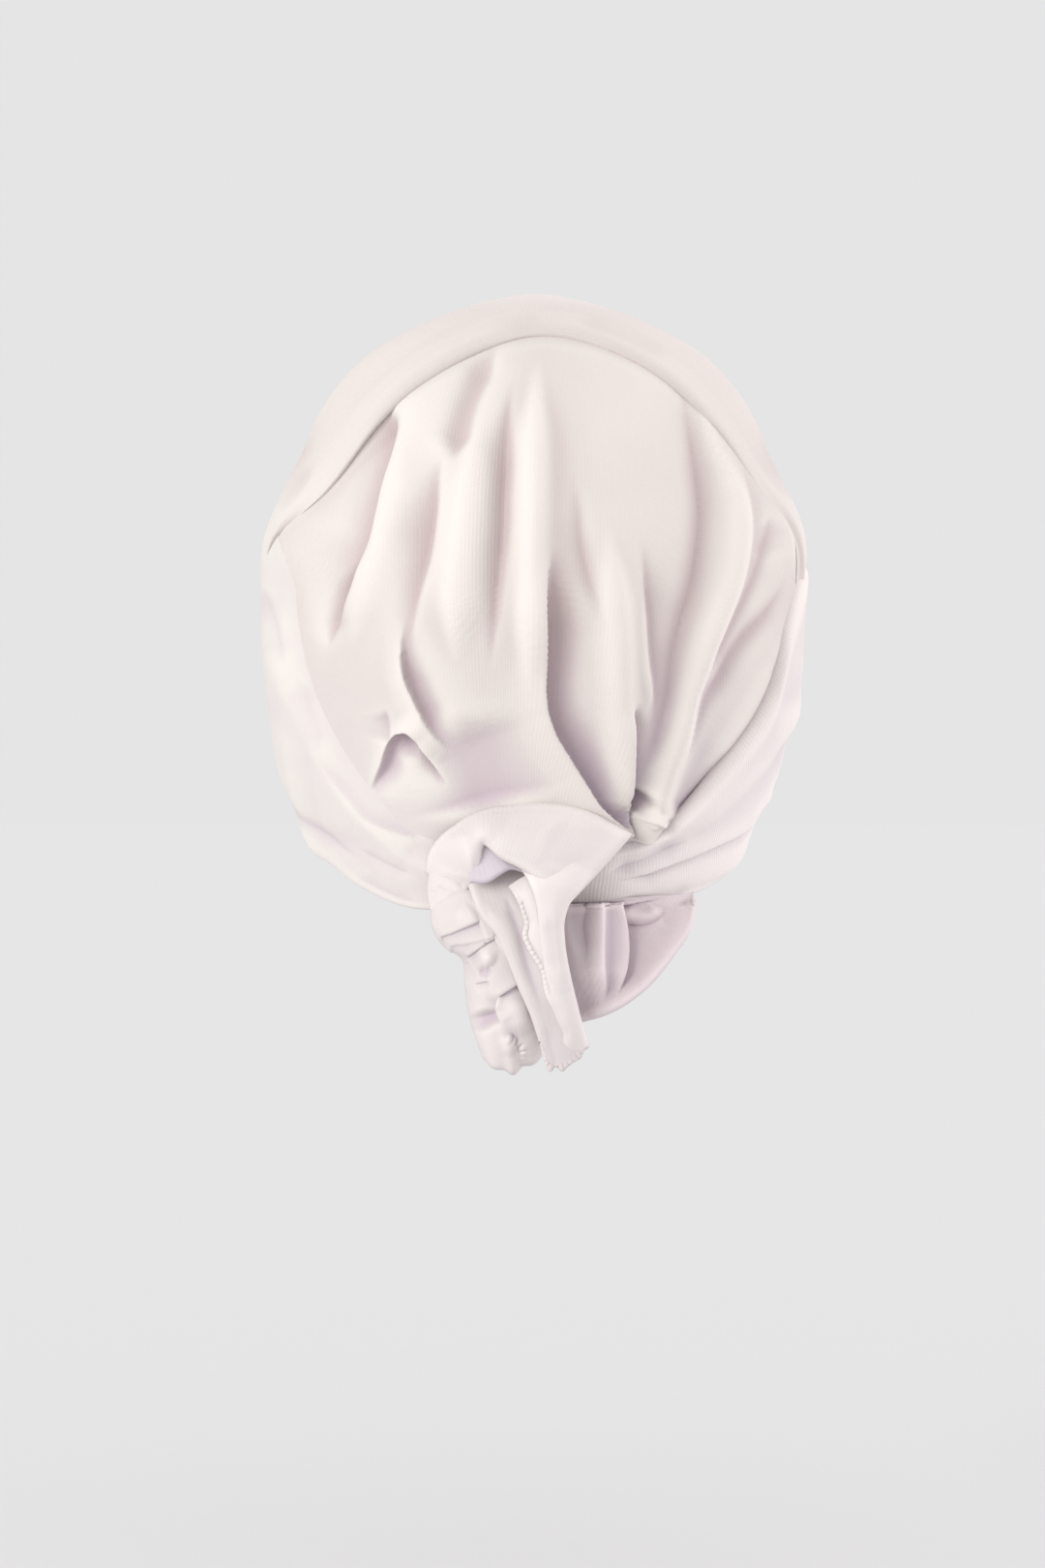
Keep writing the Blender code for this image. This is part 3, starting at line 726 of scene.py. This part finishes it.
def patch(top, bottom, left, right, belly=0.0, edges=(0, 0, 0, 0), edge_share=0.08, strokes=()):
    """The place function of a sheet between four edges, each a path of pixels and depths to the rear.

    The top and bottom run from left to right, and the sides from top to bottom. Edges gives how far the
    cloth turns under at the top, the bottom, the left and the right."""
    sides = (even_path(pixels_to_mm(side), EDGE_POINTS) for side in (top, bottom, left, right))
    top, bottom, left, right = sides
    fine = np.linspace(0, 1, EDGE_POINTS)

    def at(side, share):
        return np.stack([np.interp(share, fine, side[:, i]) for i in range(3)], axis=1)

    def place(u, v):
        a, b = u[:, None], v[:, None]
        ruled = (1 - b) * at(top, u) + b * at(bottom, u) + (1 - a) * at(left, v) + a * at(right, v)
        corners = (1 - a) * (1 - b) * top[0] + a * (1 - b) * top[-1]
        corners = corners + (1 - a) * b * bottom[0] + a * b * bottom[-1]
        x, z, depth = (ruled - corners).T
        depth = depth + belly * np.sin(math.pi * u) ** 0.8 * np.sin(math.pi * v) ** 0.8
        for drop, t in zip(edges, (v, 1 - v, u, 1 - u)):
            depth = depth - drop * (1 - rounded(t / edge_share))
        height, shift_x, shift_z = drawn(strokes, x, z)
        return placed(x + shift_x, -(depth + height), z + shift_z)

    return place


def pixels_to_mm(path):
    """A path of pixels and depths, with the pixels turned into x and z."""
    path = np.array(path, float)
    return np.concatenate([in_plane(path[:, :2]), path[:, 2:]], axis=1)


WING_STROKES = (
    ("crease", 1.5, 5.0, 2.0, 0.2, 0.2, ((476, 856), (481, 872), (487, 892), (484, 916))),
    ("crease", -0.9, 2.0, 2.0, 0.3, 0.2, ((456, 905), (466, 912), (480, 918))),
    ("fold", 1.4, 5.0, 8.0, 0.2, 0.3, ((500, 868), (530, 886), (556, 908), (572, 930))),
    ("fold", -1.0, 6.0, 6.0, 0.3, 0.3, ((560, 858), (585, 880), (588, 905))),
    ("fold", 0.7, 3.0, 3.0, 0.3, 0.3, ((500, 845), (540, 842), (590, 846), (630, 860))),
)

wing = patch(
    top=(
        (441, 901, 77), (445, 880, 79), (456, 865, 82), (470, 854, 84), (485, 844, 85), (500, 838, 86),
        (530, 833, 86.5), (560, 831, 87), (590, 834, 87), (612, 841, 86.5), (633, 852, 86), (652, 862, 86),
    ),
    bottom=(
        (481, 922, 88), (489, 906, 92), (491, 893, 95), (493, 872, 97), (509, 886, 98.5), (526, 896, 99.5),
        (549, 915, 99.5), (562, 938, 97.5),
    ),
    left=((441, 901, 77), (452, 909, 82), (466, 917, 86), (481, 922, 88)),
    right=((652, 862, 86), (626, 891, 91), (601, 918, 95), (582, 938, 97.5)),
    belly=4.5,
    edges=(2.5, 1.6, 2.0, 1.6),
    edge_share=0.07,
    strokes=WING_STROKES,
)

# The wing's point runs on down over the tails
neck = patch(
    top=((536, 892, 96), (560, 888, 96.5), (590, 890, 96), (616, 899, 93)),
    bottom=((571, 1046, 94.2), (584, 1049, 94.6), (597, 1045, 93.6)),
    left=(
        (536, 892, 96), (547, 910, 100.6), (555, 932, 101), (559, 965, 99.4), (564, 1002, 97.2),
        (571, 1046, 94.2),
    ),
    right=(
        (616, 899, 93), (601, 917, 96.4), (587, 934, 98.8), (582, 950, 99.2), (582, 972, 98.6),
        (588, 1008, 96.8), (597, 1045, 93.6),
    ),
    belly=0.7,
    edges=(0, 0, 1.0, 1.6),
    edge_share=0.12,
    strokes=(("fold", -0.6, 2.0, 2.0, 0.3, 0.3, ((568, 940), (570, 970), (576, 1010))),),
)

pocket = patch(
    top=((484, 862, 94), (493, 866, 94.6), (502, 870, 94.4)),
    bottom=((486, 910, 96.2), (504, 910, 96.8), (514, 904, 96.8), (527, 897, 96.4), (547, 902, 94)),
    left=((484, 862, 94), (486, 890, 95), (486, 910, 96.2)),
    right=((502, 870, 94.4), (526, 884, 95), (547, 902, 94)),
    belly=-0.6,
    edges=(0, 1.2, 0, 0),
)

back_ply = patch(
    top=((482, 895, 88), (505, 893, 88), (530, 892, 88), (556, 895, 88)),
    bottom=(
        (565, 1098, 92), (568, 1107, 92), (575, 1102, 92), (581, 1106, 92), (588, 1100, 92), (594, 1096, 91.5),
        (599, 1093, 91), (603, 1086, 90.5), (608, 1082, 90),
    ),
    left=(
        (482, 895, 88), (487, 921, 92), (497, 945, 94), (512, 964, 94.5), (523, 990, 94.5), (535, 1017, 94.4),
        (550, 1050, 93.6), (559, 1077, 92.8), (565, 1098, 92),
    ),
    right=((556, 895, 88), (572, 940, 93), (580, 975, 94), (588, 1010, 93.5), (597, 1046, 92), (608, 1082, 90)),
    belly=0.6,
    edges=(0, 0, 1.4, 0.6),
    edge_share=0.1,
    strokes=(
        ("fold", 0.9, 2.2, 3.0, 0.2, 0.2, ((500, 930), (520, 964), (534, 1000), (552, 1044), (566, 1086))),
        ("fold", -0.9, 2.0, 2.0, 0.2, 0.4, ((522, 924), (534, 956), (546, 1000), (562, 1046))),
        ("serge", 0.55, 0.8, 0.8, 0.1, 0.1, ((556, 1072), (566, 1100), (580, 1103), (594, 1094), (606, 1083))),
    ),
)

front_ply = patch(
    top=((526, 915, 93), (545, 905, 95), (570, 903, 95.4), (590, 908, 94.5)),
    bottom=((571, 1099, 90.6), (584, 1098, 91), (598, 1088, 91), (607, 1080, 90.6)),
    left=(
        (526, 915, 93), (535, 929, 96), (540, 942, 96.6), (543, 955, 96.8), (541, 966, 96.8), (546, 979, 96.8),
        (553, 991, 96.6), (559, 1001, 96.4), (564, 1024, 95.8), (570, 1042, 95), (574, 1068, 93.2), (571, 1099, 90.6),
    ),
    right=(
        (590, 908, 94.5), (582, 938, 97), (582, 970, 97), (588, 1008, 96), (597, 1046, 94.2),
        (607, 1080, 90.6),
    ),
    belly=0.5,
    edges=(0, 0, 0.8, 1.4),
    edge_share=0.1,
    strokes=(
        ("serge", 0.65, 0.8, 0.8, 0.05, 0.3, (
            (528, 918), (536, 929), (541, 942), (544, 955), (542, 966), (547, 979), (554, 991),
            (560, 1001), (565, 1024), (572, 1042),
        )),
        ("crease", -0.7, 0.7, 0.9, 0.1, 0.3, (
            (536, 921), (543, 940), (547, 955), (546, 966), (551, 979), (558, 990), (564, 1002),
            (569, 1024), (576, 1042),
        )),
        ("fold", -0.7, 2.0, 2.5, 0.3, 0.3, ((566, 1030), (576, 1056), (586, 1078))),
    ),
)

CRUMPLE_STROKES = (
    ("step", 2.2, 4.0, 4.0, 0.1, 0.1, ((497, 949), (478, 957), (454, 967))),
    ("step", 1.6, 3.0, 3.0, 0.1, 0.1, ((513, 963), (492, 970), (464, 978))),
    ("step", 2.6, 3.0, 3.5, 0.15, 0.1, ((514, 968), (500, 977), (482, 988))),
    ("fold", 2.8, 2.6, 2.6, 0.45, 0.45, ((496, 984), (503, 990), (510, 998))),
    ("fold", -1.6, 1.6, 1.6, 0.4, 0.4, ((492, 1000), (502, 1003), (512, 1004))),
    ("step", -2.2, 3.0, 3.0, 0.25, 0.25, ((490, 1016), (498, 1013), (508, 1012))),
    ("step", -2.4, 3.0, 3.0, 0.25, 0.25, ((512, 1030), (524, 1022), (538, 1013))),
    ("fold", -3.6, 4.5, 4.5, 0.35, 0.35, ((498, 1040), (502, 1054), (508, 1066))),
    ("step", -2.6, 3.0, 3.0, 0.3, 0.3, ((518, 1026), (514, 1041), (520, 1060))),
    ("fold", 2.0, 3.5, 3.5, 0.4, 0.4, ((528, 1028), (535, 1050), (540, 1072))),
    ("fold", 1.5, 2.0, 2.0, 0.4, 0.4, ((518, 1066), (524, 1080), (530, 1092))),
    ("fold", -1.3, 1.2, 1.2, 0.4, 0.4, ((526, 1064), (534, 1076), (537, 1090))),
    ("serge", 1.1, 1.2, 1.2, 0.2, 0.2, ((520, 1072), (532, 1076), (541, 1086), (540, 1096))),
    ("fold", 0.9, 3.0, 3.0, 0.3, 0.3, ((470, 940), (482, 945), (492, 940))),
)

crumple = patch(
    top=((446, 935, 84), (462, 925, 88), (480, 920, 90), (506, 922, 90)),
    bottom=(
        (500, 1092, 84), (512, 1103, 87), (522, 1104, 88), (530, 1109, 88.5), (540, 1100, 88.4),
        (549, 1099, 88), (566, 1080, 86),
    ),
    left=(
        (446, 935, 84), (449, 960, 83), (463, 980, 82), (478, 990, 82), (482, 1018, 81.5),
        (487, 1052, 81), (500, 1092, 84),
    ),
    right=((506, 922, 90), (530, 968, 91), (545, 1008, 90.5), (556, 1040, 89), (566, 1080, 86)),
    belly=6.0,
    edges=(2.0, 3.0, 3.0, 2.0),
    edge_share=0.14,
    strokes=CRUMPLE_STROKES,
)

POUCH_STROKES = (
    ("fold", 7.0, 10.0, 9.0, 0.0, 0.4, ((612, 934), (614, 980), (618, 1044))),
    ("fold", 2.2, 2.0, 2.6, 0.0, 0.5, ((583, 936), (585, 960), (592, 985), (602, 1010), (610, 1030))),
    ("crease", -2.0, 1.6, 3.0, 0.0, 0.5, ((606, 936), (603, 956), (605, 975), (606, 996))),
    ("fold", 2.6, 5.0, 2.6, 0.0, 0.4, ((618, 934), (620, 970), (620, 1005), (618, 1044))),
    ("step", 2.2, 3.0, 4.0, 0.0, 0.35, ((622.5, 934), (623, 965), (623, 995), (624, 1020), (624, 1044))),
    ("step", 4.6, 3.0, 6.5, 0.0, 0.4, ((641, 934), (646, 962), (647, 985), (643, 1012), (634, 1042))),
    ("fold", 3.2, 3.4, 2.4, 0.3, 0.2, ((640, 938), (656, 946), (672, 947), (684, 938))),
    ("crease", -2.2, 1.4, 1.4, 0.3, 0.2, ((644, 948), (660, 955), (676, 952), (686, 942))),
    ("fold", 2.2, 3.2, 3.2, 0.05, 0.1, (
        (711, 930), (708, 954), (696, 977), (678, 1003), (656, 1026), (630, 1040), (600, 1050),
    )),
)

pouch = patch(
    top=((578, 930, 75), (610, 930, 75), (650, 928, 73), (690, 925, 67), (716, 922, 60)),
    bottom=(
        (596, 1056, 80), (624, 1048, 83), (648, 1036, 84), (670, 1018, 83), (693, 990, 80),
        (712, 960, 75), (717, 932, 66),
    ),
    left=((578, 930, 75), (582, 975, 77), (588, 1020, 79), (596, 1056, 80)),
    right=((716, 922, 60), (717, 927, 63), (717, 932, 66)),
    belly=-5.0,
    edges=(0, 1.6, 0, 0),
    edge_share=0.05,
    strokes=POUCH_STROKES,
)

lower_loop = patch(
    top=((445, 900, 79), (458, 904, 84), (470, 911, 87), (484, 921, 88.5)),
    bottom=((446, 940, 83), (458, 938, 86), (472, 935, 88), (488, 930, 89.5)),
    left=((445, 900, 79), (443, 920, 80.5), (446, 940, 83)),
    right=((484, 921, 88.5), (486, 926, 89), (488, 930, 89.5)),
    belly=1.4,
    edges=(1.0, 0.6, 1.6, 0.6),
    edge_share=0.15,
    strokes=(
        ("crease", -1.2, 1.4, 1.4, 0.2, 0.2, ((452, 914), (462, 920), (482, 927))),
        ("crease", -0.8, 1.0, 1.0, 0.2, 0.2, ((450, 918), (449, 928), (450, 936))),
    ),
)


# The floor in m, and the colours of the surroundings
FLOOR_SIZE, FLOOR_HEIGHT = 60, -0.40
BACKDROP, PAPER = (0.783, 0.783, 0.783), (0.770, 0.766, 0.777)


def studio():
    """The camera, a pale floor, soft light from the left and behind, and a fill from the right."""
    scene = bpy.context.scene
    scene.view_settings.view_transform = "Standard"
    camera = bpy.data.objects.new("camera", bpy.data.cameras.new("camera"))
    camera.location = Vector(EYE * MM)
    camera.rotation_euler = (math.radians(90), 0, 0)
    camera.data.sensor_width = SENSOR
    camera.data.lens = SENSOR * -EYE[1] / VIEW_HEIGHT
    scene.collection.objects.link(camera)
    scene.camera = camera
    world = bpy.data.worlds.new("studio")
    scene.world = world
    world.use_nodes = True
    backdrop = world.node_tree.nodes["Background"]
    backdrop.inputs["Color"].default_value = (*BACKDROP, 1)
    backdrop.inputs["Strength"].default_value = 1.0
    sun("key", (-1.25, -1.25, 0.35), 2.05, 45, (0.97, 0.97, 0.93))
    sun("fill", (1.6, 0.3, 0.25), 2.0, 50, (1.0, 0.96, 0.95))
    bpy.ops.mesh.primitive_plane_add(size=FLOOR_SIZE, location=(0, 0, FLOOR_HEIGHT))
    floor = bpy.context.object
    floor.name = "floor"
    paper = bpy.data.materials.new("pale_paper")
    paper.use_nodes = True
    surface = paper.node_tree.nodes["Principled BSDF"].inputs
    surface["Base Color"].default_value = (*PAPER, 1)
    surface["Roughness"].default_value = 1.0
    surface["Specular IOR Level"].default_value = 0.0
    floor.data.materials.append(paper)


def sun(name, place, power, spread, colour):
    """Even light from the direction of a place, as soft as a panel of this many degrees."""
    light = bpy.data.lights.new(name, "SUN")
    light.energy = power
    light.angle = math.radians(spread)
    light.color = colour
    lamp = bpy.data.objects.new(name, light)
    lamp.rotation_euler = (-Vector(place)).to_track_quat("-Z", "Y").to_euler()
    bpy.context.scene.collection.objects.link(lamp)


def wear(piece, nodes=()):
    """The piece rides on the bonnet and stands for these nodes."""
    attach(piece, "root")
    if nodes:
        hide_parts(*nodes)


studio()

# Lit colours. The crown, the panels and the right tie are painted darker high up and brighter lower down: painted
# light and shade by height
CREAM, DIM_CREAM, PINK_CREAM = (0.745, 0.70, 0.675), (0.715, 0.66, 0.635), (0.75, 0.695, 0.685)
CROWN_CREAM, BRIGHT_CREAM = (0.66, 0.60, 0.58), (0.77, 0.72, 0.69)
BAND_CREAM, LOW_BAND_CREAM = (0.755, 0.695, 0.685), (0.82, 0.765, 0.755)
# Shaded colours, painted into the cloth's hollows as painted shade
TAUPE, LILAC, DEEP_LILAC = (0.57, 0.475, 0.475), (0.57, 0.475, 0.545), (0.50, 0.415, 0.51)

panel_jersey = jersey("ivory_jersey_panels", DIM_CREAM, TAUPE, CREAM, LILAC)
crown_jersey = jersey("ivory_jersey_crown", CROWN_CREAM, TAUPE, BRIGHT_CREAM, TAUPE, heights=(-0.03, -0.075))
tie_jersey = jersey("ivory_jersey_ties", CREAM, LILAC, ribbing=0.16)
ribbed_jersey = jersey("ivory_jersey_ribbed", BAND_CREAM, LILAC, LOW_BAND_CREAM, LILAC, ribbing=0.3)
wing_jersey = jersey("ivory_jersey_wing", PINK_CREAM, LILAC, ribbing=0.3)
tail_jersey = jersey("ivory_jersey_tails", (0.68, 0.625, 0.62), LILAC, ribbing=0.1)
# The pocket under the wing is the same cloth, painted darker and lilac: painted shade
shadow_jersey = jersey("ivory_jersey_lilac_painted_shade", (0.68, 0.62, 0.67), DEEP_LILAC)
# The pouch under the right tie is the same cloth, painted darker and lilac: painted shade
pouch_jersey = jersey("ivory_jersey_pouch_painted_shade", (0.72, 0.635, 0.66), (0.50, 0.41, 0.48))
knot_jersey = jersey("ivory_jersey_knot", PINK_CREAM, LILAC, ribbing=0.1)


def place_left_tie(u, v):
    """The left tie, which comes out smoothly from under the front panel."""
    return place_tie(LEFT_TIE, LEFT_STROKES, hidden_start, melting_edge, 1.2, u, v)


def place_right_tie(u, v):
    """The right tie, with its thick rolled upper edge. Its table runs from the right to the knot."""
    return place_tie(RIGHT_TIE, RIGHT_STROKES, rolled_start, rolled_edge, -0.6, 1 - u, v)


front = grid_cloth("front_panel_cloth", 250, 190, place_front_panel, crown_jersey)
back = grid_cloth("back_panel_cloth", 360, 270, place_back_panel, panel_jersey, thickness=0)
left_tie = grid_cloth("tie_left_cloth", 220, 110, place_left_tie, tie_jersey)
right_tie = grid_cloth("tie_right_cloth", 220, 110, place_right_tie, ribbed_jersey)

wear(front, ["front_panel"])
wear(back, ["back_panel"])
wear(left_tie, ["tie_left"])
wear(right_tie, ["tie_right"])

knot_wing = grid_cloth("knot_wing", 180, 100, wing, wing_jersey)
wear(knot_wing, ["knot"])
knot_neck = grid_cloth("knot_neck", 60, 130, neck, knot_jersey)
wear(knot_neck)
knot_lower_loop = grid_cloth("knot_lower_loop", 70, 60, lower_loop, knot_jersey)
wear(knot_lower_loop, ["knot_loop"])
knot_pocket = grid_cloth("knot_pocket", 60, 50, pocket, shadow_jersey)
wear(knot_pocket)
tail_back_ply = grid_cloth("tail_back_ply", 80, 160, back_ply, tail_jersey)
wear(tail_back_ply, ["tail_right"])
tail_front_ply = grid_cloth("tail_front_ply", 60, 140, front_ply, knot_jersey)
wear(tail_front_ply)
tail_crumpled = grid_cloth("tail_crumpled", 110, 180, crumple, tail_jersey)
wear(tail_crumpled, ["tail_left"])
nape_pouch = grid_cloth("nape_pouch", 140, 110, pouch, pouch_jersey)
wear(nape_pouch, ["nape_flap"])
